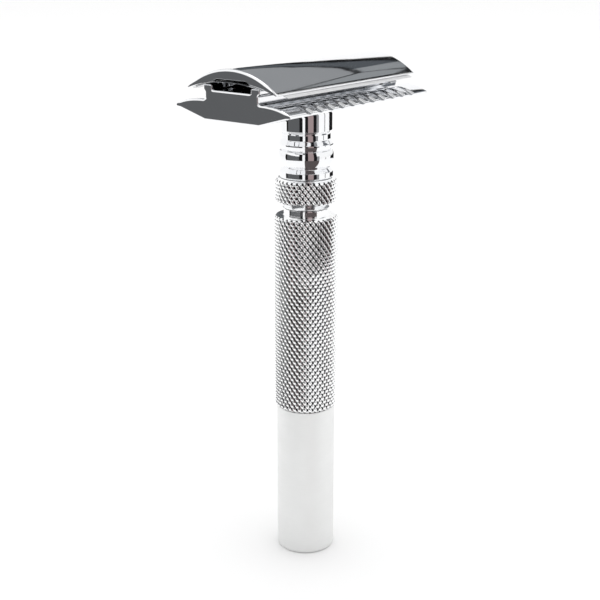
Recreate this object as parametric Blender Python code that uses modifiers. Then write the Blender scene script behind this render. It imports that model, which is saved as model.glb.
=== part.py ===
"""Three-piece double-edge safety razor, standing upright on the end of its handle.

The head's long side runs along X, its two blade edges face -Y and +Y, and the handle
stands on the origin along +Z. Lengths below are in millimetres; MM turns them into metres.
"""
import math

import bmesh
import bpy

MM = 0.001
SIDES = 36                      # facets round a turned piece
MERGE = 1e-6                    # metres, for points that a full turn brings together
OVERCUT = 1.0                   # how far a cutter runs past the piece it cuts
FIXED_GAP = 0.05                # between pieces pressed or screwed together for good

# Handle heights, from the end that it stands on
PLUG_TOP = 3.0
GRIP_JOINT = 30.8               # plain lower grip below, knurled grip above
GRIP_TOP = 69.35
WAIST_TOP = 70.75
RING_BOTTOM = 70.85
RING_TOP = 76.7
NECK_TOP = 89.2
CORE_BOTTOM = PLUG_TOP + 0.6
STEM_BOTTOM = 62.0
SPIGOT_LENGTH = 6.0

# Neck, from the collar under the head down to the ring
COLLAR_FOOT = 85.7
SHAFT_TOP = 85.0
SHAFT_FOOT = 83.9
FLANGE_TOP = 83.1
FLANGE_FOOT = 82.9
BEAD_TOP = 82.0
BEAD_CENTRE = (2.1, 80.75)
BEAD_ARC_R = 3.1
FLARE_TOP = 78.65
FLARE_EDGE = 77.9
FLARE_FOOT = 77.0

# Handle radii
LOWER_R = 5.7
KNURL_R = 6.12
WAIST_R = 4.25
RING_R = 5.97
NECK_R = 4.9
SHAFT_R = 4.6
FLANGE_R = 5.1
BEAD_END_R = 4.72
FLARE_R = 4.5
CORE_R = 3.4
SPIGOT_R = 1.87
PLUG_R = 4.2
INSERT_R = 3.6
END_ROUND = 0.8
SLEEVE_CHAMFER = 0.5
RING_CHAMFER = 0.6
RING_TAPER = 1.35               # how far the ring's lower side draws in to its waist

# Head
HEAD_LENGTH = 42.0
BASE_BOTTOM = 89.25
BASE_HALF_FLAT = 6.0
BAR_HALF_WIDTH = 13.0
BAR_FOOT_Z = 92.95
TIP_Z = 91.45
TIP_ROUND = 0.4
RIDGE_OUTER = 6.4
RIDGE_INNER = 4.4
RIDGE_TOP = 95.65
RIDGE_NECK = 6.0                # ridge's outer side under its rounded top
FLOOR_Z = 94.7
CAP_TOP = 98.5
CAP_ARC_R = 15.7
CAP_HALF_WIDTH = 10.1
CAP_RIM_Z = 94.5
CEILING_Z = 96.6
CEILING_HALF = 3.3
CHANNEL_FOOT_Z = 95.95

# Comb flutes along each bar, and the notch near each end of a ridge
FLUTES = 11
FLUTE_PITCH = 3.1
FLUTE_R = 1.5
FLUTE_SIDES = 16
FLUTE_START = 10.2
FLUTE_START_DEPTH = 0.2
FLUTE_END_DEPTH = 0.3
NOTCH_X = 17.6
NOTCH_WIDTH = 0.7
NOTCH_DEPTH = 1.3

# Blade: 22 mm wide, 43 mm over its end tabs, bent over the ridges
BLADE_LENGTH = 43.0
BLADE_HALF_WIDTH = 10.95
BLADE_T = 0.1
BLADE_BEND_R = 29.7
BLADE_CROWN_Z = 96.3
EDGE_HALF_LENGTH = 18.9
TAB_HALF_WIDTH = 7.1
SLOT_HALF_WIDTH = 0.85
SLOT_HALF_LENGTH = 15.5
BLADE_CENTRE_HOLE_R = 3.3
BLADE_PIN_HOLE_R = 2.0
BLADE_GAP = 0.04                # blade to ridge top and to cap
HOLE_SIDES = 20
PLAN_DEPTH = 8.0                # depth of the cutters that give the blade its plan

# Cap stud, its bush in the neck, and the two locating pins
STUD_R = 2.5
STUD_BOTTOM = 84.6
STUD_TOP = 97.5
STUD_POINT = 0.4
BUSH_BORE_R = 2.6
BUSH_BOTTOM = 80.0
STUD_HOLE_R = 2.9
PIN_X = 10.0
PIN_R = 1.7
PIN_BOTTOM = 89.6
PIN_HOLE_R = 1.95
PIN_POINT = 0.3

COLOURS = {
    "chrome": ((0.80, 0.81, 0.83), 0.07),
    "knurled_chrome": ((0.80, 0.81, 0.82), 0.16),
    "satin_chrome": ((0.84, 0.85, 0.85), 0.34),
    "blade_steel": ((0.70, 0.72, 0.74), 0.22),
    "plain_steel": ((0.56, 0.57, 0.58), 0.35),
    "brass": ((0.78, 0.60, 0.30), 0.30),
}


def new_collection(name):
    group = bpy.data.collections.new(name)
    bpy.context.scene.collection.children.link(group)
    return group


def metal(node, finish):
    colour, roughness = COLOURS[finish]
    material = bpy.data.materials.new(node + "_" + finish)
    material.use_nodes = True
    shader = material.node_tree.nodes["Principled BSDF"]
    shader.inputs["Base Color"].default_value = (*colour, 1.0)
    shader.inputs["Metallic"].default_value = 1.0
    shader.inputs["Roughness"].default_value = roughness
    return material


def add_mesh(name, mesh, group):
    piece = bpy.data.objects.new(name, mesh)
    group.objects.link(piece)
    return piece


def finish_part(piece, finish, parent):
    """Give a finished piece its own metal, smooth round sides and its moving parent."""
    piece.data.materials.clear()
    piece.data.materials.append(metal(piece.name, finish))
    piece.data.shade_smooth()
    piece.data.set_sharp_from_angle(angle=math.radians(35))
    piece.parent = parent
    return piece


def turned(name, profile, finish, parent, hollow=False):
    """Turn a profile of (radius, height) points, run down the outside, about Z."""
    count = len(profile)
    edges = [(i, i + 1) for i in range(count - 1)]
    if hollow:
        edges.append((count - 1, 0))
    mesh = bpy.data.meshes.new(name)
    mesh.from_pydata([(r * MM, 0.0, z * MM) for r, z in profile], edges, [])
    piece = add_mesh(name, mesh, parts)
    screw = piece.modifiers.new("turn", "SCREW")
    screw.steps = SIDES
    screw.render_steps = SIDES
    screw.use_merge_vertices = True
    screw.merge_threshold = MERGE
    return finish_part(piece, finish, parent)


def arc(centre, radius, start, end, steps):
    """Points round an arc, by angle in degrees from the profile's outward direction."""
    points = []
    for i in range(steps + 1):
        angle = math.radians(start + (end - start) * i / steps)
        points.append((centre[0] + radius * math.cos(angle), centre[1] + radius * math.sin(angle)))
    return points


def prism(name, outlines, length, group, along_x=True, middle=0.0):
    """Extrude flat outlines, along X from (y, z) points or along Z from (x, y) points."""
    curve = bpy.data.curves.new(name, "CURVE")
    curve.dimensions = "2D"
    curve.fill_mode = "BOTH"
    curve.extrude = length * MM / 2
    for outline in outlines:
        spline = curve.splines.new("POLY")
        spline.points.add(len(outline) - 1)
        for point, (across, up) in zip(spline.points, outline):
            point.co = (across * MM, up * MM, 0.0, 1.0)
        spline.use_cyclic_u = True
    drawn = bpy.data.objects.new(name + "_outline", curve)
    bpy.context.scene.collection.objects.link(drawn)
    if along_x:
        drawn.rotation_euler = (math.pi / 2, 0.0, math.pi / 2)
        drawn.location = (middle * MM, 0.0, 0.0)
    else:
        drawn.location = (0.0, 0.0, middle * MM)
    bpy.context.view_layer.update()
    mesh = bpy.data.meshes.new_from_object(drawn.evaluated_get(bpy.context.evaluated_depsgraph_get()))
    mesh.transform(drawn.matrix_world)
    body = bmesh.new()
    body.from_mesh(mesh)
    bmesh.ops.remove_doubles(body, verts=body.verts, dist=MERGE)
    bmesh.ops.recalc_face_normals(body, faces=body.faces)
    body.to_mesh(mesh)
    body.free()
    mesh.name = name
    bpy.data.objects.remove(drawn)
    return add_mesh(name, mesh, group)


def hide_cutter(cutter):
    cutter.hide_render = True
    cutter.display_type = "WIRE"
    return cutter


def round_cutter(name, radius, low, high, x=0.0):
    """An upright drill from one height to another."""
    bpy.ops.mesh.primitive_cylinder_add(
        vertices=SIDES, radius=radius * MM, depth=(high - low) * MM,
        location=(x * MM, 0.0, (low + high) / 2 * MM))
    cutter = bpy.context.object
    cutter.name = name
    for group in list(cutter.users_collection):
        group.objects.unlink(cutter)
    cutters.objects.link(cutter)
    return hide_cutter(cutter)


def apply_boolean(piece, cutter, operation="DIFFERENCE"):
    step = piece.modifiers.new(cutter.name, "BOOLEAN")
    step.operation = operation
    step.object = cutter
    step.solver = "EXACT"


def mirrored(half):
    """A closed outline from its +Y half, which runs from its top round to its underside."""
    return half + [(-across, up) for across, up in reversed(half) if across > 0]


def blade_mid_z(across):
    return BLADE_CROWN_Z - (BLADE_BEND_R - math.sqrt(BLADE_BEND_R ** 2 - across ** 2))


def blade_line(offset, outer, steps):
    """Points at an offset above the blade's mid-surface, from its crown out to one side."""
    return [(outer * i / steps, blade_mid_z(outer * i / steps) + offset) for i in range(steps + 1)]


def bar_top_z(across):
    """Height of the convex top of a safety bar, from the ridge's foot out to its tip."""
    out = (across - RIDGE_OUTER) / (BAR_HALF_WIDTH - RIDGE_OUTER)
    drop = BAR_FOOT_Z - TIP_Z - TIP_ROUND * 0.6
    return BAR_FOOT_Z - drop * (0.12 * out + 0.88 * out ** 2.6)


# ---------------------------------------------------------------- handle

def make_lower_grip(parent):
    """Plain sleeve that the razor stands on."""
    profile = [(CORE_R + FIXED_GAP, GRIP_JOINT - FIXED_GAP), (LOWER_R, GRIP_JOINT - FIXED_GAP)]
    corner = (LOWER_R - END_ROUND, END_ROUND)
    profile += arc(corner, END_ROUND, 0, -90, 5)
    profile += [(PLUG_R + FIXED_GAP, 0.0), (PLUG_R + FIXED_GAP, PLUG_TOP + FIXED_GAP)]
    profile += [(CORE_R + FIXED_GAP, PLUG_TOP + FIXED_GAP)]
    turned("lower_grip", profile, "satin_chrome", parent, hollow=True)


def make_end_plug(parent):
    """Screwed plug that closes the end and clamps the sleeves on the core."""
    profile = [(0.0, PLUG_TOP), (PLUG_R, PLUG_TOP), (PLUG_R, 0.0), (0.0, 0.0)]
    turned("end_plug", profile, "satin_chrome", parent)


def make_grip_core(parent):
    """Steel rod inside both sleeves, spigoted into the stem of the neck."""
    shoulder = STEM_BOTTOM - FIXED_GAP
    tip = shoulder + SPIGOT_LENGTH
    profile = [(0.0, tip), (SPIGOT_R, tip), (SPIGOT_R, shoulder)]
    profile += [(CORE_R, shoulder), (CORE_R, CORE_BOTTOM), (0.0, CORE_BOTTOM)]
    turned("grip_core", profile, "plain_steel", parent)


def make_knurled_grip(parent):
    """Knurled sleeve with a plain waist above it."""
    bore = CORE_R + FIXED_GAP
    edge_r = KNURL_R - SLEEVE_CHAMFER
    profile = [(bore, WAIST_TOP), (WAIST_R, WAIST_TOP), (WAIST_R, GRIP_TOP)]
    profile += [(edge_r, GRIP_TOP), (KNURL_R, GRIP_TOP - SLEEVE_CHAMFER)]
    profile += [(KNURL_R, GRIP_JOINT + SLEEVE_CHAMFER), (edge_r, GRIP_JOINT), (bore, GRIP_JOINT)]
    turned("knurled_grip", profile, "knurled_chrome", parent, hollow=True)


def make_knurled_ring(parent):
    """Knurled collar ring that locks the neck on the grip."""
    bore = CORE_R + FIXED_GAP
    taper_foot = RING_BOTTOM + 0.4
    profile = [(bore, RING_TOP), (RING_R - RING_CHAMFER, RING_TOP), (RING_R, RING_TOP - RING_CHAMFER)]
    profile += [(RING_R, taper_foot + 1.15), (RING_R - RING_TAPER, taper_foot)]
    profile += [(WAIST_R, RING_BOTTOM), (bore, RING_BOTTOM)]
    turned("knurled_ring", profile, "knurled_chrome", parent, hollow=True)


def make_neck(parent):
    """Turned neck: collar, flange, bead and flare, on a stem that enters the grip."""
    bush_seat = INSERT_R + FIXED_GAP
    spigot_bore = SPIGOT_R + FIXED_GAP
    spigot_end = STEM_BOTTOM + SPIGOT_LENGTH + 0.5
    profile = [(bush_seat, NECK_TOP), (NECK_R, NECK_TOP), (NECK_R, COLLAR_FOOT)]
    profile += [(SHAFT_R - 0.15, COLLAR_FOOT - 0.3), (SHAFT_R, SHAFT_TOP), (SHAFT_R, SHAFT_FOOT)]
    profile += [(FLANGE_R, FLANGE_TOP), (FLANGE_R, FLANGE_FOOT), (BEAD_END_R, BEAD_TOP)]
    profile += arc(BEAD_CENTRE, BEAD_ARC_R, 20, -32, 4)
    profile += [(FLARE_R, FLARE_TOP), (FLANGE_R, FLARE_EDGE), (FLANGE_R, FLARE_FOOT)]
    profile += [(FLANGE_R - 0.15, RING_TOP + FIXED_GAP), (CORE_R, RING_TOP + FIXED_GAP)]
    profile += [(CORE_R, STEM_BOTTOM), (spigot_bore, STEM_BOTTOM)]
    profile += [(spigot_bore, spigot_end), (BUSH_BORE_R, spigot_end + 0.7)]
    profile += [(BUSH_BORE_R, BUSH_BOTTOM - FIXED_GAP), (bush_seat, BUSH_BOTTOM - FIXED_GAP)]
    turned("neck", profile, "chrome", parent, hollow=True)


def make_thread_bush(parent):
    """Brass bush in the neck that the cap's stud screws into."""
    top = NECK_TOP - 0.3
    profile = [(BUSH_BORE_R + 0.3, top), (INSERT_R, top), (INSERT_R, BUSH_BOTTOM)]
    profile += [(BUSH_BORE_R, BUSH_BOTTOM), (BUSH_BORE_R, top - 0.3)]
    turned("thread_bush", profile, "brass", parent, hollow=True)


# ---------------------------------------------------------------- head

def base_outline():
    """Half section of the base plate, from the floor's centre out and back underneath."""
    half = [(RIDGE_INNER, FLOOR_Z), (RIDGE_INNER, RIDGE_TOP - 0.45)]
    half += arc((RIDGE_INNER + 0.4, RIDGE_TOP - 0.43), 0.4, 180, 90, 3)
    half += arc((RIDGE_OUTER - 0.45, RIDGE_TOP - 0.6), 0.57, 90, 0, 4)
    half += [(RIDGE_OUTER - 0.05, RIDGE_TOP - 0.9), (RIDGE_NECK, RIDGE_TOP - 1.35)]
    half += arc((RIDGE_NECK + 0.7, BAR_FOOT_Z + 0.7), 0.7, 180, 262, 4)
    bar_steps = 8
    bar_start = RIDGE_NECK + 1.0
    bar_end = BAR_HALF_WIDTH - TIP_ROUND * 0.5
    for i in range(bar_steps + 1):
        across = bar_start + (bar_end - bar_start) * i / bar_steps
        half.append((across, bar_top_z(across)))
    half += arc((BAR_HALF_WIDTH - TIP_ROUND, TIP_Z), TIP_ROUND, 10, -60, 3)
    half += [(BASE_HALF_FLAT + 0.5, BASE_BOTTOM + 0.1), (BASE_HALF_FLAT, BASE_BOTTOM)]
    return mirrored(half)


def make_flute_cutters():
    """Round flutes across both bars, deeper towards the tips."""
    start_z = bar_top_z(FLUTE_START) - FLUTE_START_DEPTH
    end_across = BAR_HALF_WIDTH + OVERCUT
    tip_z = bar_top_z(BAR_HALF_WIDTH) - FLUTE_END_DEPTH
    slope = (tip_z - start_z) / (BAR_HALF_WIDTH - FLUTE_START)
    end_z = start_z + slope * (end_across - FLUTE_START)
    run = math.hypot(end_across - FLUTE_START, end_z - start_z)
    tilt = math.atan2(start_z - end_z, end_across - FLUTE_START)
    lift = FLUTE_R / math.cos(tilt)
    flutes = []
    for side in (-1, 1):
        for i in range(FLUTES):
            x = (i - (FLUTES - 1) / 2) * FLUTE_PITCH
            middle = side * (FLUTE_START + end_across) / 2
            bpy.ops.mesh.primitive_cylinder_add(
                vertices=FLUTE_SIDES, radius=FLUTE_R * MM, depth=run * MM,
                location=(x * MM, middle * MM, ((start_z + end_z) / 2 + lift) * MM),
                rotation=(math.pi / 2 - side * tilt, 0.0, 0.0))
            flutes.append(bpy.context.object)
    for flute in flutes:
        flute.select_set(True)
    bpy.context.view_layer.objects.active = flutes[0]
    bpy.ops.object.join()
    joined = bpy.context.object
    joined.name = "flute_cutters"
    for group in list(joined.users_collection):
        group.objects.unlink(joined)
    cutters.objects.link(joined)
    return hide_cutter(joined)


def make_notch_cutters():
    """Square notches through both ridges, near their ends."""
    notches = []
    for x in (-NOTCH_X, NOTCH_X):
        low = RIDGE_TOP - NOTCH_DEPTH
        high = RIDGE_TOP + OVERCUT
        wide = RIDGE_OUTER + OVERCUT
        section = [(-wide, low), (wide, low), (wide, high), (-wide, high)]
        name = "notch_cutter_near" if x < 0 else "notch_cutter_far"
        notches.append(hide_cutter(prism(name, [section], NOTCH_WIDTH, cutters, middle=x)))
    return notches


def make_base_plate(parent):
    """Base plate with two blade ridges and two fluted safety bars."""
    piece = prism("base_plate", [base_outline()], HEAD_LENGTH, parts)
    apply_boolean(piece, make_flute_cutters())
    for notch in make_notch_cutters():
        apply_boolean(piece, notch)
    low = BASE_BOTTOM - OVERCUT
    high = FLOOR_Z + OVERCUT
    apply_boolean(piece, round_cutter("stud_hole", STUD_HOLE_R, low, high))
    for name, x in (("pin_hole_left", -PIN_X), ("pin_hole_right", PIN_X)):
        apply_boolean(piece, round_cutter(name, PIN_HOLE_R, low, high, x))
    finish_part(piece, "chrome", parent)


def cap_outline():
    """Closed section of the cap: an arch on a short upright rim and a flat underside."""
    centre = (0.0, CAP_TOP - CAP_ARC_R)
    rim_angle = math.degrees(math.acos(CAP_HALF_WIDTH / CAP_ARC_R))
    half = arc(centre, CAP_ARC_R, 90, rim_angle, 11)
    half[0] = (0.0, CAP_TOP)
    half += [(CAP_HALF_WIDTH, CAP_RIM_Z + 0.08), (CAP_HALF_WIDTH - 0.08, CAP_RIM_Z)]
    return mirrored(half)


def make_cap(parent):
    """Arched cap with a channel under it, a seat for the blade and blind holes."""
    piece = prism("cap", [cap_outline()], HEAD_LENGTH, parts)
    below = CAP_RIM_Z - OVERCUT
    beyond = CAP_HALF_WIDTH + 0.5
    seat = mirrored(blade_line(BLADE_T / 2 + BLADE_GAP, beyond, 8) + [(beyond, below)])
    channel = mirrored([(CEILING_HALF, CEILING_Z), (RIDGE_INNER, CHANNEL_FOOT_Z), (RIDGE_INNER, below)])
    through = HEAD_LENGTH + 2 * OVERCUT
    for name, section in (("blade_seat_cutter", seat), ("channel_cutter", channel)):
        apply_boolean(piece, hide_cutter(prism(name, [section], through, cutters)))
    top = STUD_TOP + FIXED_GAP
    apply_boolean(piece, round_cutter("stud_socket", STUD_R + FIXED_GAP, below, top))
    for name, x in (("pin_socket_left", -PIN_X), ("pin_socket_right", PIN_X)):
        apply_boolean(piece, round_cutter(name, PIN_R + FIXED_GAP, below, top, x))
    finish_part(piece, "chrome", parent)


def make_cap_stud(parent):
    """Threaded stud fixed in the cap; its thread is drawn as a plain shank."""
    profile = [(0.0, STUD_TOP), (STUD_R, STUD_TOP), (STUD_R, STUD_BOTTOM + STUD_POINT)]
    profile += [(STUD_R - STUD_POINT, STUD_BOTTOM), (0.0, STUD_BOTTOM)]
    turned("cap_stud", profile, "brass", parent)


def make_locating_pins(parent):
    """Two pins that hold the blade square and slide in the base plate."""
    profile = [(0.0, STUD_TOP), (PIN_R, STUD_TOP), (PIN_R, PIN_BOTTOM + PIN_POINT)]
    profile += [(PIN_R - PIN_POINT, PIN_BOTTOM), (0.0, PIN_BOTTOM)]
    for name, x in (("locating_pin_left", -PIN_X), ("locating_pin_right", PIN_X)):
        turned(name, profile, "chrome", parent).location.x = x * MM


def circle_outline(radius, x, count):
    """A round hole's outline in plan, centred on the X axis."""
    return [(x + px, py) for px, py in arc((0.0, 0.0), radius, 0, 360 - 360 / count, count - 1)]


def make_blade(parent):
    """Double-edge blade: a bent strip trimmed to its plan, with tabs, slot and holes."""
    outer = blade_line(BLADE_T / 2, BLADE_HALF_WIDTH, 14)
    inner = blade_line(-BLADE_T / 2, BLADE_HALF_WIDTH, 14)
    strip = [(-across, up) for across, up in reversed(outer[1:])] + outer
    strip += [(across, up) for across, up in reversed(inner)]
    strip += [(-across, up) for across, up in inner[1:]]
    piece = prism("blade", [strip], BLADE_LENGTH, parts)
    half_x = BLADE_LENGTH / 2 + OVERCUT
    corner = BLADE_HALF_WIDTH + OVERCUT
    plan = []
    for sx, sy, swap in ((1, 1, False), (-1, 1, True), (-1, -1, False), (1, -1, True)):
        step = [(half_x, TAB_HALF_WIDTH), (EDGE_HALF_LENGTH, TAB_HALF_WIDTH),
                (EDGE_HALF_LENGTH, corner)]
        if swap:
            step.reverse()
        plan += [(sx * x, sy * y) for x, y in step]
    trim = hide_cutter(prism("blade_plan", [plan], PLAN_DEPTH, cutters, False, BLADE_CROWN_Z))
    apply_boolean(piece, trim, "INTERSECT")
    slot = [(-SLOT_HALF_LENGTH, -SLOT_HALF_WIDTH), (SLOT_HALF_LENGTH, -SLOT_HALF_WIDTH),
            (SLOT_HALF_LENGTH, SLOT_HALF_WIDTH), (-SLOT_HALF_LENGTH, SLOT_HALF_WIDTH)]
    slot_cutter = prism("blade_slot", [slot], PLAN_DEPTH, cutters, False, BLADE_CROWN_Z)
    apply_boolean(piece, hide_cutter(slot_cutter))
    holes = (("blade_centre_hole", BLADE_CENTRE_HOLE_R, 0.0), ("blade_hole_left", BLADE_PIN_HOLE_R, -PIN_X),
             ("blade_hole_right", BLADE_PIN_HOLE_R, PIN_X))
    for name, radius, x in holes:
        outline = circle_outline(radius, x, HOLE_SIDES)
        hole_cutter = prism(name, [outline], PLAN_DEPTH, cutters, False, BLADE_CROWN_Z)
        apply_boolean(piece, hide_cutter(hole_cutter))
    finish_part(piece, "blade_steel", parent)


for old in list(bpy.data.objects):
    bpy.data.objects.remove(old, do_unlink=True)
parts = new_collection("safety_razor")
cutters = new_collection("cutters")

head_axis = bpy.data.objects.new("head_turn_axis", None)
cap_axis = bpy.data.objects.new("cap_lift_axis", None)
blade_axis = bpy.data.objects.new("blade_lift_axis", None)
for axis in (head_axis, cap_axis, blade_axis):
    axis.empty_display_size = 5 * MM
    parts.objects.link(axis)
cap_axis.parent = head_axis
blade_axis.parent = head_axis

for make in (make_lower_grip, make_end_plug, make_grip_core, make_knurled_grip, make_knurled_ring,
             make_neck, make_thread_bush):
    make(None)
make_base_plate(head_axis)
for make in (make_cap, make_cap_stud, make_locating_pins):
    make(cap_axis)
make_blade(blade_axis)
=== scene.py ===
"""Looks of the safety razor: milled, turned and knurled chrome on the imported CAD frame.

Lengths in the part's own features are in millimetres; MM turns them into metres.
"""

import math

import bmesh
import bpy
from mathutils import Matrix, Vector


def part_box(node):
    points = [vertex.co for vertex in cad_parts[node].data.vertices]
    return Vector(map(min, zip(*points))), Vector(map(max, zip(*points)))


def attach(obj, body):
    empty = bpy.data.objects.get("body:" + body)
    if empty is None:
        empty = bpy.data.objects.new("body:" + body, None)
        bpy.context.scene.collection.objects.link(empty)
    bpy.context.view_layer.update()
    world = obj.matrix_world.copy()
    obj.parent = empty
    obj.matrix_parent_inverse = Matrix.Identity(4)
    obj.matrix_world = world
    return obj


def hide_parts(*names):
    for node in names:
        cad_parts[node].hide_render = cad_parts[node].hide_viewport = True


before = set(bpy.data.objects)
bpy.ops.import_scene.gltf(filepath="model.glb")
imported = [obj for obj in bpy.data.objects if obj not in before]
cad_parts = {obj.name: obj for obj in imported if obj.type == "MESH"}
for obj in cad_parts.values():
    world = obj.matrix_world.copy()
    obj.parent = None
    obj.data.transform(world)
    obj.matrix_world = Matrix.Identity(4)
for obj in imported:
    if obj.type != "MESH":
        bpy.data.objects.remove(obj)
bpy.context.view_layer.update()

MM = 0.001
FIT = 0.05                      # clearance between pieces that are fixed together
ROUND_SIDES = 168
SHARP = math.radians(32)        # edges that turn more than this stay hard
NEARLY_ZERO = 1e-6              # lengths below this count as none


def span(node):
    """A CAD node's lowest and highest point, in millimetres."""
    low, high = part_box(node)
    return low / MM, high / MM


GRIP_LOW, GRIP_HIGH = span("knurled_grip")
RING_LOW, RING_HIGH = span("knurled_ring")
NECK_LOW, NECK_HIGH = span("neck")
SLEEVE_LOW, SLEEVE_HIGH = span("lower_grip")
PLUG_LOW, PLUG_HIGH = span("end_plug")
BASE_LOW, BASE_HIGH = span("base_plate")
CAP_LOW, CAP_HIGH = span("cap")
BLADE_HIGH = span("blade")[1]
STUD_LOW, STUD_HIGH = span("cap_stud")

CORE_R = 3.4                    # outside of grip_core
SLEEVE_BORE = CORE_R + FIT      # bore of the sleeves that sit on it
WAIST_R = 4.25                  # plain waist above the grip's knurling
PIN_X = 10.0                    # the locating pins stand this far left and right
HALF_LENGTH = BASE_HIGH.x


# ---------------------------------------------------------------- mesh helpers

def new_piece(name, verts, faces, flat=()):
    """A smooth-shaded piece from points in millimetres; flat lists faces with hard borders."""
    mesh = bpy.data.meshes.new(name)
    mesh.from_pydata([(x * MM, y * MM, z * MM) for x, y, z in verts], [], faces)
    mesh.validate()
    mesh.shade_smooth()
    mesh.set_sharp_from_angle(angle=SHARP)
    borders = set()
    for i in flat:
        loop = faces[i]
        borders.update(frozenset(pair) for pair in zip(loop, loop[1:] + loop[:1]))
    for edge in mesh.edges:
        if frozenset(edge.vertices) in borders:
            edge.use_edge_sharp = True
    piece = bpy.data.objects.new(name, mesh)
    bpy.context.scene.collection.objects.link(piece)
    return piece


def rounded(points, steps=5, hold=0.12, longest=3.0):
    """Round a profile's corners. Each point is (r, z) or (r, z, fillet radius).

    Straight runs get a point at hold from either end, so that their shading stays flat.
    """
    most = 0.48                 # share of a straight run that one fillet may take
    out = []
    for i, point in enumerate(points):
        here = Vector(point[:2])
        fillet = point[2] if len(point) > 2 else 0.0
        if not fillet or i in (0, len(points) - 1):
            out.append(here)
            continue
        before = Vector(points[i - 1][:2]) - here
        after = Vector(points[i + 1][:2]) - here
        turn = math.pi - before.angle(after)
        reach = fillet * math.tan(turn / 2)
        reach = min(reach, before.length * most, after.length * most)
        start = here + before.normalized() * reach
        end = here + after.normalized() * reach
        for k in range(steps + 1):
            t = k / steps
            out.append((1 - t) ** 2 * start + 2 * t * (1 - t) * here + t * t * end)
    held = [out[0]]
    for a, b in zip(out, out[1:]):
        length = (b - a).length
        if length > 4 * hold:
            held.append(a + (b - a) * (hold / length))
            pieces = max(1, math.ceil(length / longest))
            for k in range(1, pieces):
                held.append(a + (b - a) * (k / pieces))
            held.append(b - (b - a) * (hold / length))
        held.append(b)
    return [(p.x, p.y) for p in held]


def turned(name, profile, closed, sides=ROUND_SIDES, x=0.0):
    """Turn a (radius, height) profile about an upright axis at x."""
    verts = []
    rings = []
    for r, z in profile:
        if r < NEARLY_ZERO:
            rings.append([len(verts)] * sides)
            verts.append((x, 0.0, z))
            continue
        rings.append(list(range(len(verts), len(verts) + sides)))
        for k in range(sides):
            angle = 2 * math.pi * k / sides
            verts.append((x + r * math.cos(angle), r * math.sin(angle), z))
    pairs = list(zip(rings, rings[1:]))
    if closed:
        pairs.append((rings[-1], rings[0]))
    faces = []
    for upper, lower in pairs:
        for k in range(sides):
            n = (k + 1) % sides
            face = []
            for v in (upper[k], lower[k], lower[n], upper[n]):
                if v not in face:
                    face.append(v)
            if len(face) > 2:
                faces.append(face)
    return new_piece(name, verts, faces)


def arc(centre, radius, start, end, steps):
    """Points along an arc between two angles in degrees."""
    points = []
    for i in range(steps + 1):
        angle = math.radians(start + (end - start) * i / steps)
        points.append((centre[0] + radius * math.cos(angle),
                       centre[1] + radius * math.sin(angle)))
    return points


def mirrored(half):
    """A closed outline from its +Y half, which runs from its top round to its underside."""
    return half + [(-across, up) for across, up in reversed(half) if across > NEARLY_ZERO]


def divided(outline, longest):
    """Split a polyline's longer steps."""
    out = [outline[0]]
    for a, b in zip(outline, outline[1:]):
        count = max(1, math.ceil(math.dist(a, b) / longest))
        for k in range(1, count + 1):
            t = k / count
            out.append((a[0] + (b[0] - a[0]) * t, a[1] + (b[1] - a[1]) * t))
    return out


def inward(outline):
    """Unit normals that point into a closed outline drawn clockwise, lengthened at corners."""
    sharpest = 0.6              # smallest cosine that a corner's normal is lengthened by
    normals = []
    count = len(outline)
    for i in range(count):
        a = Vector(outline[i - 1])
        b = Vector(outline[i])
        c = Vector(outline[(i + 1) % count])
        before = (b - a).normalized()
        after = (c - b).normalized()
        n1 = Vector((before.y, -before.x))
        n2 = Vector((after.y, -after.x))
        middle = (n1 + n2).normalized()
        normals.append(middle / max(sharpest, middle.dot(n1)))
    return normals


def end_stations(radius, steps):
    """(distance from the end, share of the end rounding's inset) towards the end face."""
    rows = []
    for k in range(steps + 1):
        angle = math.pi / 2 * k / steps
        rows.append((radius * (1 - math.sin(angle)), 1 - math.cos(angle)))
    return rows


def bar_faces(rows, count):
    """Side faces, then both end faces, of a bar along X with rows of count points."""
    faces = []
    for s in range(rows - 1):
        a = s * count
        b = a + count
        for k in range(count):
            n = (k + 1) % count
            faces.append([a + k, b + k, b + n, a + n])
    last = (rows - 1) * count
    faces.append(list(range(count)))
    faces.append(list(range(last, last + count))[::-1])
    return faces


def lofted(name, section, insets, stations, end_radius, steps=6):
    """A bar along X whose ends are rounded over. section(x) gives its clockwise outline."""
    rows = end_stations(end_radius, steps)
    places = [(-HALF_LENGTH + back, share) for back, share in reversed(rows)]
    places += [(x, 0.0) for x in stations]
    places += [(HALF_LENGTH - back, share) for back, share in rows]
    verts = []
    count = 0
    for x, share in places:
        outline = section(x)
        count = len(outline)
        if share > 0:
            normals = inward(outline)
            outline = [(p[0] + n.x * i * share, p[1] + n.y * i * share)
                       for p, n, i in zip(outline, normals, insets)]
        verts += [(x, across, up) for across, up in outline]
    faces = bar_faces(len(places), count)
    return new_piece(name, verts, faces, flat=(len(faces) - 2, len(faces) - 1))


def prism_cutter(outline, low, high):
    """An upright prism from (x, y) points."""
    count = len(outline)
    verts = [(x, y, low) for x, y in outline] + [(x, y, high) for x, y in outline]
    faces = [list(range(count))[::-1], list(range(count, 2 * count))]
    for k in range(count):
        n = (k + 1) % count
        faces.append([k, n, count + n, count + k])
    return new_piece("cutter", verts, faces)


def circle(radius, x):
    """(x, y) points round a hole, none of them straight ahead, where pieces have own edges."""
    count = 48
    half = 180 / count
    return [(x + px, py) for px, py in arc((0.0, 0.0), radius, half, 360 - half, count - 1)]


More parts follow.
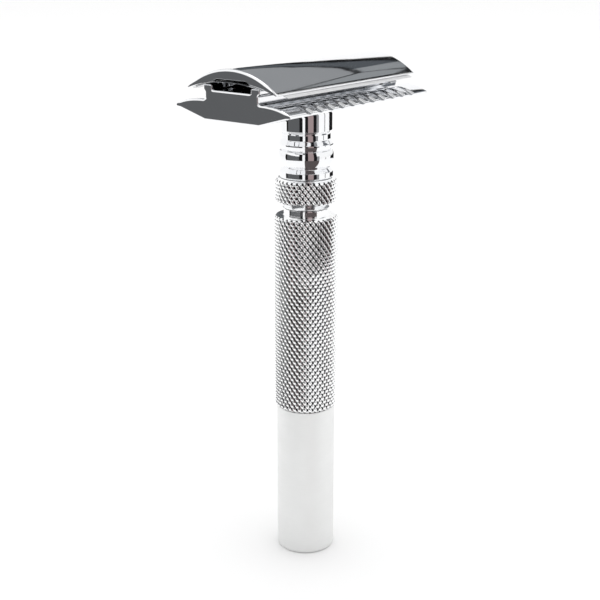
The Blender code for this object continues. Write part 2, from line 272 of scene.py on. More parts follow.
def cut(piece, cutter, operation="DIFFERENCE"):
    """Cut a piece, keep the result as its own mesh, and give its end faces hard borders again."""
    step = piece.modifiers.new("cut", "BOOLEAN")
    step.operation = operation
    step.object = cutter
    step.solver = "EXACT"
    graph = bpy.context.evaluated_depsgraph_get()
    result = bpy.data.meshes.new_from_object(piece.evaluated_get(graph))
    piece.modifiers.clear()
    old = piece.data
    piece.data = result
    result.name = piece.name
    bpy.data.meshes.remove(old)
    bpy.data.objects.remove(cutter)
    piece.data.set_sharp_from_angle(angle=SHARP)
    straight_on = 0.9999
    ends = set()
    for face in result.polygons:
        if abs(face.normal.x) > straight_on:
            ends.update(face.edge_keys)
    for edge in result.edges:
        if tuple(sorted(edge.vertices)) in ends:
            edge.use_edge_sharp = True


def drill(piece, stud_hole, pin_hole, low, high):
    """Upright holes for the stud and for both locating pins."""
    for radius, x in ((stud_hole, 0.0), (pin_hole, -PIN_X), (pin_hole, PIN_X)):
        cut(piece, prism_cutter(circle(radius, x), low, high))


def smoothstep(low, high, value):
    """0 up to low, 1 from high on, and a smooth rise between."""
    t = min(1.0, max(0.0, (value - low) / (high - low)))
    return t * t * (3 - 2 * t)


# ---------------------------------------------------------------- handle pieces

KNURL_DEPTH = 0.34
KNURL_SPLIT = 6                 # mesh columns per tooth
FIRST_FLANK = 0.38              # width of a groove's flank, as a share of the tooth
SECOND_FLANK = 0.34
SECOND_FLOOR = 0.25             # height of the floor of the second, shallower set of grooves
CROSSING_REACH = 0.52           # how far the painted shade at a crossing of grooves spreads
GROOVE_SHADE = 0.3               # how dark the painted shade in a groove is away from a crossing


def knurl_shape(u, v):
    """Height, 0 in a groove and 1 on a flat top, and how near a crossing of grooves it is."""
    first = 0.5 - abs(u % 1.0 - 0.5)
    second = 0.5 - abs(v % 1.0 - 0.5)
    height = min(1.0, first / FIRST_FLANK, SECOND_FLOOR + second / SECOND_FLANK)
    return height, max(0.0, 1 - (first + second) / CROSSING_REACH)


def knurled(name, above, below, radius, low, high, teeth, period, chamfer):
    """A sleeve with real diamond knurling between two plain profiles.

    Every second row of the knurling is half a column further round. Its painted shade, darker
    down in the grooves and darkest where grooves cross, is stored on the mesh for the material.
    """
    split = KNURL_SPLIT
    columns = teeth * split
    step = period / (2 * split)
    count = round((high - low) / step)
    step = (high - low) / count
    rows = []
    for r, z in above:
        rows.append((z, count % 2, [r] * columns, [0.0] * columns))
    for k in range(count, -1, -1):
        z = low + k * step
        limit = radius - chamfer + min(z - low, high - z)
        radii = []
        row_shade = []
        for c in range(columns):
            a = (c + 0.5 * (k % 2)) / split
            b = k / (2 * split)
            height, crossing = knurl_shape(a + b, a - b)
            radii.append(min(radius - KNURL_DEPTH * (1 - height), limit))
            # painted shade: darker down in a groove, darkest where two grooves cross
            row_shade.append(GROOVE_SHADE * (1 - height) + (1 - GROOVE_SHADE) * crossing)
        rows.append((z, k % 2, radii, row_shade))
    for r, z in below:
        rows.append((z, 0, [r] * columns, [0.0] * columns))
    verts = []
    pit_shade = []
    for z, odd, radii, row_shade in rows:
        for c in range(columns):
            angle = 2 * math.pi * (c + 0.5 * odd) / columns
            verts.append((radii[c] * math.cos(angle), radii[c] * math.sin(angle), z))
        pit_shade += row_shade
    faces = []
    first = len(above)
    last = first + count
    for s in range(len(rows)):
        n = (s + 1) % len(rows)
        upper = s * columns
        lower = n * columns
        if first <= s < last:
            odd = rows[s][1]
            for c in range(columns):
                left = (c + odd) % columns
                right = (left - 1) % columns
                if s == first:
                    faces.append([upper + c, lower + left, upper + (c + 1) % columns])
                foot = [lower + columns + c] if s < last - 1 else []
                faces.append([upper + c, lower + right, *foot, lower + left])
        else:
            for c in range(columns):
                nc = (c + 1) % columns
                faces.append([upper + c, lower + c, lower + nc, upper + nc])
    piece = new_piece(name, verts, faces)
    # the painted groove and pit shade goes to the material as a mesh attribute
    layer = piece.data.attributes.new("pit_shade", "FLOAT", "POINT")
    layer.data.foreach_set("value", pit_shade)
    return piece


def make_knurled_grip():
    """Knurled sleeve with a plain waist above it."""
    radius = GRIP_HIGH.x
    waist_length = 1.4
    knurl_high = GRIP_HIGH.z - waist_length
    chamfer = 0.42
    above = rounded([(SLEEVE_BORE, GRIP_HIGH.z), (WAIST_R, GRIP_HIGH.z, 0.1),
                     (WAIST_R, knurl_high, 0.15), (radius - chamfer, knurl_high)])
    below = rounded([(radius - chamfer - 0.05, GRIP_LOW.z), (SLEEVE_BORE, GRIP_LOW.z)])
    piece = knurled("knurled_grip_fine", above, below, radius, GRIP_LOW.z + 0.02, knurl_high,
                    teeth=35, period=1.4, chamfer=chamfer)
    dress(piece, "handle", knurled_chrome, "knurled_grip")


def make_knurled_ring():
    """Knurled collar that locks the neck on the grip, tapered to the waist below it."""
    radius = RING_HIGH.x
    knurl_low = RING_LOW.z + 1.3
    knurl_high = RING_HIGH.z - 0.27
    above = rounded([(SLEEVE_BORE, RING_HIGH.z), (radius - 0.75, RING_HIGH.z, 0.1),
                     (radius - 0.45, RING_HIGH.z - 0.25)])
    below = rounded([(radius - 0.4, RING_LOW.z + 1.25), (WAIST_R + 0.45, RING_LOW.z + 0.3, 0.2),
                     (WAIST_R, RING_LOW.z, 0.05), (SLEEVE_BORE, RING_LOW.z)])
    piece = knurled("knurled_ring_fine", above, below, radius, knurl_low, knurl_high,
                    teeth=34, period=1.35, chamfer=0.4)
    dress(piece, "handle", knurled_chrome, "knurled_ring")


def make_lower_grip():
    """Plain satin sleeve that the razor stands on."""
    radius = SLEEVE_HIGH.x
    plug_hole = PLUG_HIGH.x + FIT
    plug_top = PLUG_HIGH.z + FIT
    profile = [(SLEEVE_BORE, SLEEVE_HIGH.z), (radius, SLEEVE_HIGH.z, 0.12),
               (radius, SLEEVE_LOW.z, 0.8), (plug_hole, SLEEVE_LOW.z, 0.08),
               (plug_hole, plug_top), (SLEEVE_BORE, plug_top)]
    piece = turned("lower_grip_fine", rounded(profile, steps=9), True)
    dress(piece, "handle", satin_chrome, "lower_grip")


def make_end_plug():
    """Screwed plug in the end, with a shallow turned dish and a coin slot across it."""
    radius = PLUG_HIGH.x
    dish_depth = 0.12
    slot_depth = 0.9
    half_slot = 0.45
    reach = radius + 1
    profile = [(0.0, PLUG_HIGH.z), (radius, PLUG_HIGH.z, 0.1), (radius, PLUG_LOW.z, 0.15),
               (radius * 0.62, PLUG_LOW.z), (0.0, PLUG_LOW.z + dish_depth)]
    piece = turned("end_plug_fine", rounded(profile), False)
    slot = [(-reach, -half_slot), (reach, -half_slot), (reach, half_slot), (-reach, half_slot)]
    cut(piece, prism_cutter(slot, PLUG_LOW.z - 1, PLUG_LOW.z + slot_depth))
    dress(piece, "handle", satin_chrome, "end_plug")


def make_neck():
    """Turned neck: collar, flange, bead and flare, on a stem that enters the grip."""
    top = NECK_HIGH.z
    foot = RING_HIGH.z + FIT
    collar_r = 4.9
    step_r = 4.6
    flange_r = 5.1
    bush_seat_r = 3.65          # thread_bush stands in here
    bush_seat_z = 79.95
    spigot_bore_r = 2.6
    stem_bore_r = 1.92
    profile = [(bush_seat_r, top), (collar_r, top, 0.1), (collar_r, 85.62, 0.16),
               (4.44, 85.36, 0.16), (step_r, 85.0, 0.12), (step_r, 84.0, 0.5),
               (flange_r, 83.15, 0.1), (flange_r, 82.92, 0.1), (4.7, 82.0, 0.12)]
    profile += arc((2.1, 80.75), 3.1, 22, -33, 14)
    profile += [(4.45, 78.72, 0.14), (flange_r, 77.95, 0.16), (flange_r, 77.0, 0.2),
                (4.95, foot, 0.08), (CORE_R, foot, 0.1), (CORE_R, NECK_LOW.z, 0.1),
                (stem_bore_r, NECK_LOW.z), (stem_bore_r, 68.5), (spigot_bore_r, 69.2),
                (spigot_bore_r, bush_seat_z), (bush_seat_r, bush_seat_z)]
    piece = turned("neck_fine", rounded(profile), True)
    dress(piece, "handle", chrome, "neck")


# ---------------------------------------------------------------- head pieces

RIDGE_INNER = 4.4               # distances across, from the middle of the base plate
RIDGE_OUTER = 6.4
RIDGE_NECK = 6.0                # undercut below the ridge's rounded top
FLOOR_Z = 94.7                  # floor of the trough between the ridges
BAR_FOOT_Z = 92.95
TIP_Z = 91.45
TIP_R = 0.4
BAR_HALF_WIDTH = BASE_HIGH.y
FLUTES = 11
FLUTE_PITCH = 3.1
FLUTE_R = 1.75
FLUTE_START = 10.35             # centre of a flute's ball end
NOTCH_X = 17.6                  # a narrow notch across each ridge, near its ends
NOTCH_HALF_WIDTH = 0.35
NOTCH_DEPTH = 1.3


def bar_top_z(across):
    """Height of the convex top of a safety bar, from the ridge's foot out to its tip."""
    slope = 0.12                # share of the drop that is a plain slope
    curve = 0.88                # share that bends down towards the tip
    out = (across - RIDGE_OUTER) / (BAR_HALF_WIDTH - RIDGE_OUTER)
    drop = BAR_FOOT_Z - TIP_Z - TIP_R * 0.6
    return BAR_FOOT_Z - drop * (slope * out + curve * max(0.0, out) ** 2.6)


def flute_depth(x, across):
    """How deep the ball-ended flutes are at one place on a bar."""
    index = round(x / FLUTE_PITCH)
    if abs(index) > FLUTES // 2 or across < FLUTE_START - FLUTE_R:
        return 0.0
    off = x - index * FLUTE_PITCH
    out = (across - FLUTE_START) / (BAR_HALF_WIDTH - FLUTE_START)
    deepest = 0.24 + 0.1 * max(0.0, out)
    back = max(0.0, FLUTE_START - across)
    square = FLUTE_R ** 2 - off ** 2 - back ** 2
    if square <= 0:
        return 0.0
    return max(0.0, math.sqrt(square) - (FLUTE_R - deepest))


def base_half():
    """Half outline of the base plate, and how many of its points the flutes may lower."""
    top = BASE_HIGH.z
    start = RIDGE_NECK + 1.1    # where the fillet under the ridge meets the bar
    upper = [(0.0, FLOOR_Z), (RIDGE_INNER, FLOOR_Z, 0.3), (RIDGE_INNER, top, 0.5),
             (RIDGE_OUTER, top, 0.62), (RIDGE_OUTER - 0.03, top - 0.95, 0.3),
             (RIDGE_NECK, top - 1.4, 0.3), (RIDGE_NECK, BAR_FOOT_Z - 0.02, 0.8),
             (start, bar_top_z(start))]
    half = divided(rounded(upper, steps=7, hold=0.08), 0.5)
    end = BAR_HALF_WIDTH - TIP_R * 0.5
    steps = 46
    for i in range(1, steps + 1):
        across = start + (end - start) * i / steps
        half.append((across, bar_top_z(across)))
    half += arc((BAR_HALF_WIDTH - TIP_R, TIP_Z), TIP_R, 25, -60, 7)
    fluted = len(half) - 4
    flat_bottom = 6.2
    under = rounded([half[-1], (flat_bottom, BASE_LOW.z, 0.8), (0.0, BASE_LOW.z)], hold=0.08)
    half += divided(under, 0.8)[1:]
    return half, fluted


def base_insets(outline):
    """How far the end rounding draws in each point, less near the tips and on the ridges.

    A larger inset on the ridges would make the end's outline cross itself.
    """
    on_top, on_ridge, below = 0.4, 0.24, 0.3
    insets = []
    for across, up in outline:
        if 4.35 < abs(across) < 6.5 and up > 93.3:
            inset = on_ridge
        else:
            inset = on_top if up > 91.0 else below
        from_tip = BAR_HALF_WIDTH - abs(across)
        insets.append(min(inset, 0.1 + 0.25 * from_tip))
    return insets


def make_base_plate():
    """Base plate: two blade ridges, two fluted safety bars, and rounded-over ends."""
    half, fluted = base_half()
    start = FLUTE_START - FLUTE_R
    notch_floor = BASE_HIGH.z - NOTCH_DEPTH

    def section(x):
        out = []
        for i, (across, up) in enumerate(half):
            if across > start and i < fluted:
                up = min(up, bar_top_z(min(across, BAR_HALF_WIDTH)) - flute_depth(x, across))
            notched = abs(abs(x) - NOTCH_X) < NOTCH_HALF_WIDTH
            if notched and RIDGE_INNER - 0.01 < across < RIDGE_OUTER + 0.02 and up > notch_floor:
                up = notch_floor
            out.append((across, up))
        return mirrored(out)

    station_step = 0.13
    flute_zone = FLUTE_PITCH * FLUTES / 2
    count = int(flute_zone / station_step)
    stations = [flute_zone * k / count for k in range(-count, count + 1)]
    for x in (17.24, 17.26, 17.6, 17.94, 17.96, 18.6, 19.4, 20.2, 20.45):
        stations += [-x, x]
    piece = lofted("base_plate_fine", section, base_insets(mirrored(half)), sorted(stations),
                   end_radius=0.45)
    drill(piece, 2.9, 1.95, BASE_LOW.z - 1, FLOOR_Z + 0.6)
    dress(piece, "base", chrome, "base_plate")


BLADE_CROWN_Z = 96.3            # middle of the blade's thickness at its highest line
BLADE_BEND_R = 29.7
CEILING_Z = 96.6                # top of the channel under the cap


def blade_mid_z(across):
    """Height of the middle of the bent blade's thickness."""
    return BLADE_CROWN_Z - (BLADE_BEND_R - math.sqrt(BLADE_BEND_R ** 2 - across ** 2))


def make_cap():
    """Arched cap, rounded over at its ends, with a blade seat and a channel underneath."""
    arc_r = 15.7
    channel = 4.2               # half width of the channel between the blade seats
    half_width = CAP_HIGH.y
    centre_z = CAP_HIGH.z - arc_r
    rim_angle = math.degrees(math.acos(half_width / arc_r))
    crown = arc((0.0, centre_z), arc_r, 90, rim_angle, 30)
    rim_z = CAP_LOW.z
    rim = [(half_width, rim_z + 0.1), (half_width - 0.04, rim_z + 0.03)]
    half = crown + rim
    seat_steps = 16
    seat_gap = 0.09             # from the middle of the blade to its seat
    seat_start = half_width - 0.14
    for i in range(seat_steps + 1):
        across = seat_start - (seat_start - channel) * i / seat_steps
        half.append((across, blade_mid_z(across) + seat_gap))
    half += [(3.4, CEILING_Z - 0.05), (3.2, CEILING_Z), (1.6, CEILING_Z), (0.0, CEILING_Z)]
    outline = mirrored(half)

    insets = []
    for i in range(len(crown)):
        from_rim = (len(crown) - 1 - i) / len(crown)
        insets.append(0.06 + 0.38 * smoothstep(0.0, 0.3, from_rim))
    insets += [0.04] * (len(rim) + seat_steps + 1) + [0.12] * 4
    insets += insets[-2:0:-1]   # the mirrored half
    stations = [2.05 * k for k in range(-9, 10)]
    stations = [-20.4, -19.5] + stations + [19.5, 20.4]
    piece = lofted("cap_fine", lambda x: outline, insets, stations, end_radius=0.48, steps=8)
    drill(piece, 2.55, 1.75, rim_z - 1, STUD_HIGH.z + FIT)
    dress(piece, "cap", chrome, "cap")


def make_blade():
    """Double-edge blade with ground bevels, end tabs, slot and holes."""
    half_width = BLADE_HIGH.y
    half_thickness = 0.05
    bevel = 0.35
    places = [half_width * i / 16 for i in range(16)]
    places += [half_width - bevel, half_width - bevel / 2]
    places = sorted(places) + [half_width]
    upper = []
    lower = []
    for across in places:
        thin = half_thickness * min(1.0, (half_width - across) / bevel * 0.92 + 0.08)
        upper.append((across, blade_mid_z(across) + thin))
        lower.append((across, blade_mid_z(across) - thin))
    outline = mirrored(upper + lower[::-1])
    length = BLADE_HIGH.x
    verts = []
    rows = 44
    for s in range(rows + 1):
        x = -length + 2 * length * s / rows
        verts += [(x, across, up) for across, up in outline]
    piece = new_piece("blade_fine", verts, bar_faces(rows + 1, len(outline)))

    tab = 7.1                   # half width of the end tabs
    edge = 18.9                 # half length of the cutting edges
    beyond = length + 1
    below, above = 90.0, 99.0   # heights that every cutter passes through
    quarter = rounded([(beyond, 0.0), (beyond, tab), (edge, tab, 0.25), (edge, half_width + 1),
                       (0.0, half_width + 1)], hold=9.0)
    plan = [p for p in quarter if p[0] > NEARLY_ZERO]
    plan += [(-x, y) for x, y in reversed(plan)]
    plan += [(x, -y) for x, y in reversed(plan) if y > NEARLY_ZERO]
    cut(piece, prism_cutter(plan, below, above), "INTERSECT")
    slot_x = 15.5
    slot_y = 0.85
    slot = rounded([(0.0, -slot_y), (slot_x, -slot_y, 0.4), (slot_x, slot_y, 0.4),
                    (-slot_x, slot_y, 0.4), (-slot_x, -slot_y, 0.4), (-0.01, -slot_y)], hold=9.0)
    cut(piece, prism_cutter(slot, below, above))
    drill(piece, 3.3, 2.0, below, above)
    dress(piece, "blade", blade_steel, "blade")


def make_cap_stud():
    """Brass stud with a real right-hand thread, plain where it enters the cap."""
    pitch = 0.8
    major = STUD_HIGH.x
    depth = 0.43
    point_length = 0.45
    sides = 48
    thread_top = 93.6
    heights = []
    z = STUD_LOW.z
    while z < thread_top:
        heights.append(z)
        z += pitch / 8
    heights += [thread_top + 0.05, thread_top + 0.3, STUD_HIGH.z - 0.1, STUD_HIGH.z]
    verts = [(0.0, 0.0, STUD_LOW.z)]
    for z in heights:
        for k in range(sides):
            turn = k / sides
            crest = abs((z / pitch - turn) % 1.0 - 0.5) * 2
            cut_in = depth * (1 - min(1.0, crest * 1.15))
            cut_in *= smoothstep(thread_top + 0.2, thread_top - 0.4, z) if z < thread_top else 0.0
            point = max(0.0, point_length - (z - STUD_LOW.z))
            radius = min(major - cut_in, major - point)
            angle = 2 * math.pi * turn
            verts.append((radius * math.cos(angle), radius * math.sin(angle), z))
    verts.append((0.0, 0.0, STUD_HIGH.z))
    faces = []
    for s in range(len(heights) - 1):
        a = 1 + s * sides
        for k in range(sides):
            n = (k + 1) % sides
            faces.append([a + k, a + n, a + sides + n, a + sides + k])
    last = 1 + (len(heights) - 1) * sides
    for k in range(sides):
        n = (k + 1) % sides
        faces.append([0, 1 + n, 1 + k])
        faces.append([len(verts) - 1, last + k, last + n])
    piece = new_piece("cap_stud_fine", verts, faces)
    dress(piece, "cap", brass, "cap_stud")


def make_locating_pins():
    """Two pins that hold the blade square."""
    radius = 1.7
    for node, x in (("locating_pin_left", -PIN_X), ("locating_pin_right", PIN_X)):
        low, high = span(node)
        profile = [(0.0, high.z), (radius, high.z), (radius, low.z, 0.35), (0.0, low.z)]
        piece = turned(node + "_fine", rounded(profile, steps=6), False, sides=72, x=x)
        dress(piece, "cap", chrome, node)


# ---------------------------------------------------------------- materials

def dress(piece, body, material, node):
    """Give a piece its metal and let it stand for its CAD node."""
    piece.data.materials.clear()
    piece.data.materials.append(material)
    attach(piece, body)
    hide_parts(node)


class Nodes:
    """A metal material, and a short way to add linked shader nodes to it."""

    def __init__(self, name, roughness):
        self.material = bpy.data.materials.new(name)
        self.material.use_nodes = True
        self.tree = self.material.node_tree
        self.shader = self.tree.nodes["Principled BSDF"]
        self.shader.inputs["Metallic"].default_value = 1.0
        self.shader.inputs["Roughness"].default_value = roughness
        coordinates = self.tree.nodes.new("ShaderNodeTexCoord")
        self.place = coordinates.outputs["Object"]

    def add(self, kind, inputs=(), **settings):
        node = self.tree.nodes.new(kind)
        for key, value in settings.items():
            setattr(node, key, value)
        for socket, value in dict(inputs).items():
            if isinstance(value, bpy.types.NodeSocket):
                self.tree.links.new(value, node.inputs[socket])
            else:
                node.inputs[socket].default_value = value
        return node

    def link(self, output, socket):
        self.tree.links.new(output, self.shader.inputs[socket])

    def stretched(self, scale):
        node = self.add("ShaderNodeVectorMath", {0: self.place, 1: scale}, operation="MULTIPLY")
        return node.outputs[0]

    def noise(self, scale, detail=3.0, vector=None):
        node = self.add("ShaderNodeTexNoise", {"Vector": vector or self.place, "Scale": scale,
                                               "Detail": detail})
        return node.outputs["Fac"]

    def ranged(self, value, low, high, start=0.3, end=0.7):
        node = self.add("ShaderNodeMapRange", {"Value": value, "From Min": start, "From Max": end,
                                               "To Min": low, "To Max": high})
        return node.outputs["Result"]

    def mixed(self, factor, first, second):
        node = self.add("ShaderNodeMix", {0: factor, 6: (*first, 1.0), 7: (*second, 1.0)},
                        data_type="RGBA")
        return node.outputs[2]

    def bump(self, height, strength, distance):
        node = self.add("ShaderNodeBump", {"Height": height, "Strength": strength,
                                           "Distance": distance})
        self.link(node.outputs["Normal"], "Normal")


def make_chrome():
    """Polished plate: hairline polishing marks, and a handling haze that varies its tone and
    roughness.
    """
    made = Nodes("polished_chrome", 0.04)
    haze = made.noise(140.0, 4.0)
    hairlines = made.noise(2600.0, 2.0, made.stretched((0.12, 1.0, 1.0)))
    made.link(made.mixed(haze, (0.86, 0.87, 0.89), (0.93, 0.935, 0.945)), "Base Color")
    made.link(made.ranged(haze, 0.025, 0.075), "Roughness")
    made.bump(hairlines, 0.012, 0.00002)
    return made.material


def make_knurled_chrome():
    """Plate over cut knurling: bright diamond tops, and painted shade that darkens the grooves
    and, most, the pits where they cross.
    """
    made = Nodes("knurled_chrome_plate", 0.15)
    pit_shade = made.add("ShaderNodeAttribute", attribute_name="pit_shade").outputs["Fac"]
    # noise makes the painted shade uneven
    shade_breakup = made.noise(900.0, 3.0)
    uneven_shade = made.add("ShaderNodeMath", {0: pit_shade, 1: made.ranged(shade_breakup, 0.85, 1.15)},
                      operation="MULTIPLY").outputs[0]
    shade_mask = made.ranged(uneven_shade, 0.0, 1.0, 0.38, 0.5)
    # painted shade: the base colour goes near black in the grooves and pits
    made.link(made.mixed(shade_mask, (0.96, 0.965, 0.97), (0.01, 0.01, 0.012)), "Base Color")
    made.link(made.ranged(shade_mask, 0.10, 0.42, 0.0, 1.0), "Roughness")
    made.bump(made.noise(3200.0, 2.0), 0.03, 0.00002)
    return made.material


def make_satin_chrome():
    """Fine satin plate with a grain that runs round the sleeve."""
    made = Nodes("satin_chrome_plate", 0.38)
    grain = made.noise(3000.0, 3.0, made.stretched((0.15, 0.15, 1.6)))
    cloud = made.noise(160.0, 3.0)
    made.link(made.mixed(cloud, (0.785, 0.79, 0.785), (0.845, 0.85, 0.845)), "Base Color")
    made.link(made.ranged(grain, 0.32, 0.46), "Roughness")
    made.bump(grain, 0.05, 0.00002)
    return made.material


def make_blade_steel():
    """Rolled stainless strip, grained along its length, with paler ground bands at both edges."""
    made = Nodes("blade_strip_steel", 0.2)
    grain = made.noise(4200.0, 3.0, made.stretched((0.06, 1.0, 1.0)))
    across = made.add("ShaderNodeSeparateXYZ", {"Vector": made.place}).outputs["Y"]
    distance = made.add("ShaderNodeMath", {0: across}, operation="ABSOLUTE").outputs[0]
    ground = made.ranged(distance, 0.0, 1.0, 9.9 * MM, 10.0 * MM)
    strip = made.mixed(grain, (0.66, 0.68, 0.70), (0.80, 0.81, 0.83))
    band = made.add("ShaderNodeMix", {0: ground, 6: strip, 7: (0.97, 0.97, 0.975, 1.0)},
                    data_type="RGBA")
    made.link(band.outputs[2], "Base Color")
    rough = made.add("ShaderNodeMix", {0: ground, 2: made.ranged(grain, 0.14, 0.28), 3: 0.5},
                     data_type="FLOAT")
    made.link(rough.outputs[0], "Roughness")
    made.bump(grain, 0.04, 0.00001)
    return made.material


def make_turned_metal(name, light, dark, roughness):
    """Bare turned metal with rings from the lathe tool."""
    made = Nodes(name, roughness)
    rings = made.noise(2600.0, 2.0, made.stretched((0.08, 0.08, 1.5)))
    made.link(made.mixed(rings, dark, light), "Base Color")
    made.link(made.ranged(rings, roughness - 0.06, roughness + 0.08), "Roughness")
    made.bump(rings, 0.08, 0.00002)
    return made.material


chrome = make_chrome()
knurled_chrome = make_knurled_chrome()
satin_chrome = make_satin_chrome()
blade_steel = make_blade_steel()
brass = make_turned_metal("turned_brass", (0.82, 0.64, 0.33), (0.70, 0.52, 0.25), 0.26)
plain_steel = make_turned_metal("turned_steel", (0.60, 0.61, 0.62), (0.50, 0.51, 0.52), 0.34)


# ---------------------------------------------------------------- studio

HEAD_Z = 0.09
VIEW_AZIMUTH = 218.0            # degrees, from the razor towards the camera


def emitter(name, colour):
    """A material that glows evenly."""
    material = bpy.data.materials.new(name)
    material.use_nodes = True
    tree = material.node_tree
    tree.nodes.clear()
    glow = tree.nodes.new("ShaderNodeEmission")
    glow.inputs["Color"].default_value = (*colour, 1.0)
    out = tree.nodes.new("ShaderNodeOutputMaterial")
    tree.links.new(glow.outputs[0], out.inputs["Surface"])
    return material


def stage_mesh(name, verts, faces, colour):
    """A glowing card that only reflections see. Its lengths are in metres."""
    mesh = bpy.data.meshes.new(name)
    mesh.from_pydata(verts, [], faces)
    mesh.materials.append(emitter(name + "_glow", colour))
    card = bpy.data.objects.new(name, mesh)
    bpy.context.scene.collection.objects.link(card)
    card.visible_camera = False
    card.visible_diffuse = False
    card.visible_shadow = False
    card.visible_transmission = False
    card.visible_volume_scatter = False


def strip(name, turn, colour, borders, steps):
    """A card between two (distance, height) borders. turn is its angles right of the camera."""
    start, end = turn
    verts = []
    for k in range(steps + 1):
        angle = math.radians(VIEW_AZIMUTH + start + (end - start) * k / steps)
        for distance, height in borders:
            verts.append((distance * math.cos(angle), distance * math.sin(angle), height))
    faces = [[2 * k, 2 * k + 2, 2 * k + 3, 2 * k + 1] for k in range(steps)]
    stage_mesh(name, verts, faces, colour)


def studio_card(name, turn, colour, low, high, distance):
    """A curved upright card round the razor."""
    steps = max(2, math.ceil(abs(turn[1] - turn[0]) / 3))
    strip(name, turn, colour, ((distance, low), (distance, high)), steps)


def shelf(name, turn, colour, inner, outer, height):
    """A level card round the handle."""
    strip(name, turn, colour, ((inner, height), (outer, height)), 12)


def sky_card(name, outline, colour, distance=1.2):
    """A card high up, from corners of (angle right of the camera, rise above the head)."""
    verts = []
    for turn, rise in outline:
        angle = math.radians(VIEW_AZIMUTH + turn)
        level = distance * math.cos(math.radians(rise))
        verts.append((level * math.cos(angle), level * math.sin(angle),
                      HEAD_Z + distance * math.sin(math.radians(rise))))
    stage_mesh(name, verts, [list(range(len(verts)))], colour)


def sky_band(name, line, thickness, colour, distance=1.15):
    """A thin dark edge along (angle right of the camera, rise) points."""
    upper = [(turn, rise + thickness / 2) for turn, rise in line]
    lower = [(turn, rise - thickness / 2) for turn, rise in line]
    sky_card(name, upper + lower[::-1], colour, distance)


BLACK = (0.012, 0.012, 0.013)
DARK = (0.115, 0.118, 0.122)


def make_cards():
    """Dark flags and grey cards round the razor, for the bands that polished metal shows."""
    near = 0.25
    top = 0.26
    half_top = 0.13
    line_low, line_high = 0.022, 0.062
    studio_card("flag_left_edge", (-94, -84.5), BLACK, 0.0, half_top, near)
    studio_card("flag_left", (-84.5, -29), DARK, 0.0, half_top, near)
    studio_card("flag_left_end", (-29, -15), BLACK, 0.0, 0.2, near)
    studio_card("flag_middle", (-4.5, 8.5), BLACK, 0.0, top, near)
    studio_card("card_warm", (8.5, 32), (0.36, 0.28, 0.28), 0.0, top, near)
    studio_card("flag_right", (32, 46), BLACK, 0.0, top, near)
    studio_card("card_right", (46, 57), (0.30, 0.30, 0.31), 0.0, 0.12, near)
    studio_card("card_thin", (86, 91), (0.35, 0.35, 0.35), line_low, line_high, near)
    studio_card("flag_line", (120, 168), BLACK, line_low, line_high, near)
    studio_card("flag_side", (80, 130), (0.15, 0.16, 0.175), 0.098, 0.116, 0.05)
    shelf("flag_below", (-6, 56), (0.10, 0.085, 0.085), 0.008, 0.075, 0.058)

    # The cards above the razor follow the bands on the cap's arch.
    top_line = [(184, 6), (182, 9.6), (177, 17.6), (171, 23.2), (165.5, 26), (158, 29)]
    inner = [(186, 11), (181, 15.5), (174.4, 23.6), (167.3, 28.8), (158.4, 33), (152, 34.8)]
    lower = [(152, 34.8), (148, 37.5), (143, 40)]
    far_line = [(152, 34.6), (150, 33.4), (143, 32)]
    sky_card("panel_high", inner + lower[1:] + [(143, 55), (200, 55), (200, 11)],
             (0.29, 0.30, 0.31))
    sky_card("panel_low", top_line + inner[:-1][::-1], (0.09, 0.10, 0.11), 1.22)
    sky_card("panel_far", [(160, 28.2), (143, 33.5), (143, 40.5), (152, 35.2), (160, 32.6)],
             (0.28, 0.295, 0.305), 1.24)
    sky_band("top_edge", top_line + [(143, 33)], 2.0, BLACK)
    sky_band("panel_edge_lower", lower, 0.5, BLACK)
    sky_band("panel_edge", inner, 0.5, BLACK)
    sky_band("far_edge", far_line, 0.45, BLACK)
    sky_card("rim_edge", [(141.4, 30), (143.2, 30), (143.2, 46), (141.4, 46)], BLACK, 1.1)
    sky_card("panel_top", [(60, 60), (130, 56), (200, 56), (200, 80), (130, 84), (60, 80)],
             (0.60, 0.60, 0.60))
    sky_card("panel_front", [(-50, 22), (-20, 22), (14, 22), (14, 50), (-20, 50), (-50, 50)],
             (0.22, 0.22, 0.23))


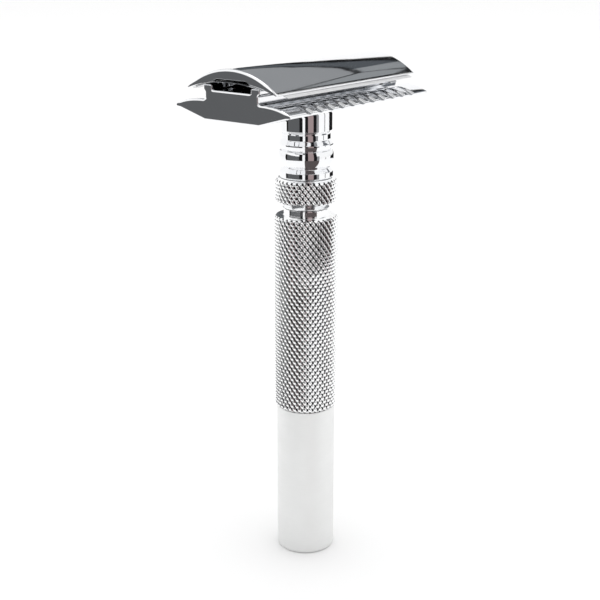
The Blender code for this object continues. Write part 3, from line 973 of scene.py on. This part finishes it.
def make_floor():
    """Plain pale floor."""
    material = bpy.data.materials.new("pale_floor")
    material.use_nodes = True
    shader = material.node_tree.nodes["Principled BSDF"]
    shader.inputs["Base Color"].default_value = (0.90, 0.90, 0.90, 1.0)
    shader.inputs["Roughness"].default_value = 0.6
    shader.inputs["Specular IOR Level"].default_value = 0.2
    reach = 8.0
    mesh = bpy.data.meshes.new("floor")
    corners = [(-reach, -reach, 0), (reach, -reach, 0), (reach, reach, 0), (-reach, reach, 0)]
    mesh.from_pydata(corners, [], [[0, 1, 2, 3]])
    mesh.materials.append(material)
    floor = bpy.data.objects.new("floor", mesh)
    bpy.context.scene.collection.objects.link(floor)


def make_light():
    """A white surround, and one large soft lamp overhead."""
    world = bpy.data.worlds.new("studio")
    bpy.context.scene.world = world
    world.use_nodes = True
    back = world.node_tree.nodes["Background"]
    back.inputs["Color"].default_value = (1.0, 1.0, 1.0, 1.0)
    back.inputs["Strength"].default_value = 1.05
    light = bpy.data.lights.new("overhead", "AREA")
    light.shape = "DISK"
    light.size = 1.6
    light.energy = 6.0
    lamp = bpy.data.objects.new("overhead", light)
    bpy.context.scene.collection.objects.link(lamp)
    place = Vector((0.1, -0.1, 1.6))
    target = Vector((0, 0, 0.05))
    lamp.location = place
    lamp.rotation_euler = (target - place).to_track_quat("-Z", "Y").to_euler()


def make_camera():
    """The camera, where the photograph's was."""
    camera = bpy.data.objects.new("camera", bpy.data.cameras.new("camera"))
    bpy.context.scene.collection.objects.link(camera)
    camera.data.lens = 72.0
    camera.data.sensor_width = 36.0
    camera.data.clip_start = 0.01
    camera.location = (-0.1760, -0.1371, 0.1218)
    camera.rotation_euler = (math.radians(72.68), 0.0, math.radians(-51.79))
    bpy.context.scene.camera = camera
    bpy.context.scene.view_settings.view_transform = "Standard"


make_camera()
make_floor()
make_light()
make_cards()

make_lower_grip()
make_end_plug()
make_knurled_grip()
make_knurled_ring()
make_neck()
make_base_plate()
make_cap()
make_blade()
make_cap_stud()
make_locating_pins()
for name, material in (("grip_core", plain_steel), ("thread_bush", brass)):
    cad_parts[name].data.materials.clear()
    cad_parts[name].data.materials.append(material)
